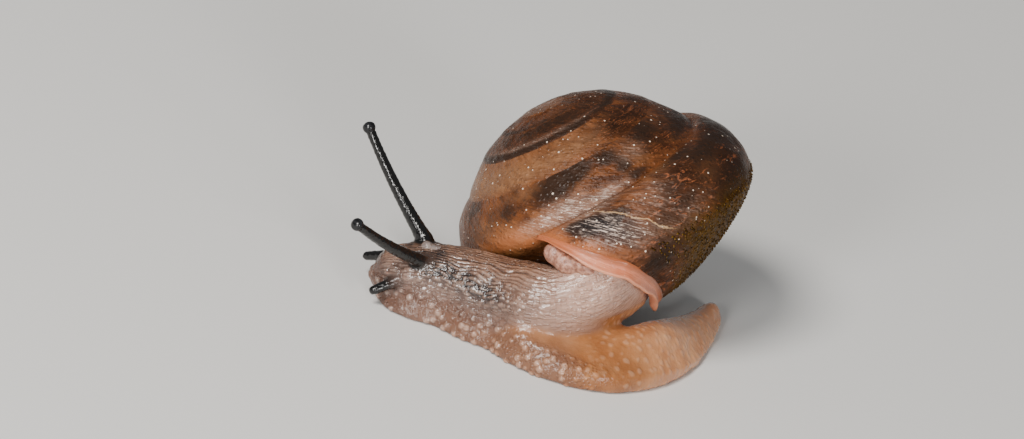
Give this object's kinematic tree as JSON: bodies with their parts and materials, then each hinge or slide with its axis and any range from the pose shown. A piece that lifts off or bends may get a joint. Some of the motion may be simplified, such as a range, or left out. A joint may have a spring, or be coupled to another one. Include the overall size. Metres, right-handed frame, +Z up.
{
  "type": "land snail",
  "caption": "Life-size land snail crawling with its brown right-handed shell rolled to one side, tentacles out and tail curled back.",
  "frame": {"origin": "under the middle of the snail's bounding box, on the floor that the sole rests on", "axes": "+Z up, the head points to -X, the tail sweeps to +Y, the snail's left side faces -Y"},
  "size_m": [0.0214, 0.0194, 0.012],
  "materials": {
    "shell": "worn satin, brown mottled with dark streaks",
    "shell_lip": "smooth, pinkish orange",
    "mantle": "wet, pink",
    "skin_grey": "wet, warty, grey-brown",
    "skin_foot": "wet, brownish pink",
    "tentacle_black": "wet, granular, black",
    "eye": "glossy, dark"
  },
  "bodies": {
    "root": {"shell": "shell", "shell_lip": "shell_lip", "mantle_collar": "mantle", "head": "skin_grey", "neck": "skin_grey", "stalk": "skin_grey", "foot_front": "skin_foot", "foot_middle": "skin_foot", "tail_base": "skin_foot", "tail_tip": "skin_foot", "ocular_left_base": "tentacle_black", "ocular_left_tip": "tentacle_black", "ocular_right_base": "tentacle_black", "ocular_right_tip": "tentacle_black", "labial_left": "tentacle_black", "labial_right": "tentacle_black", "eye_left": "eye", "eye_right": "eye"}
  },
  "joints": []
}
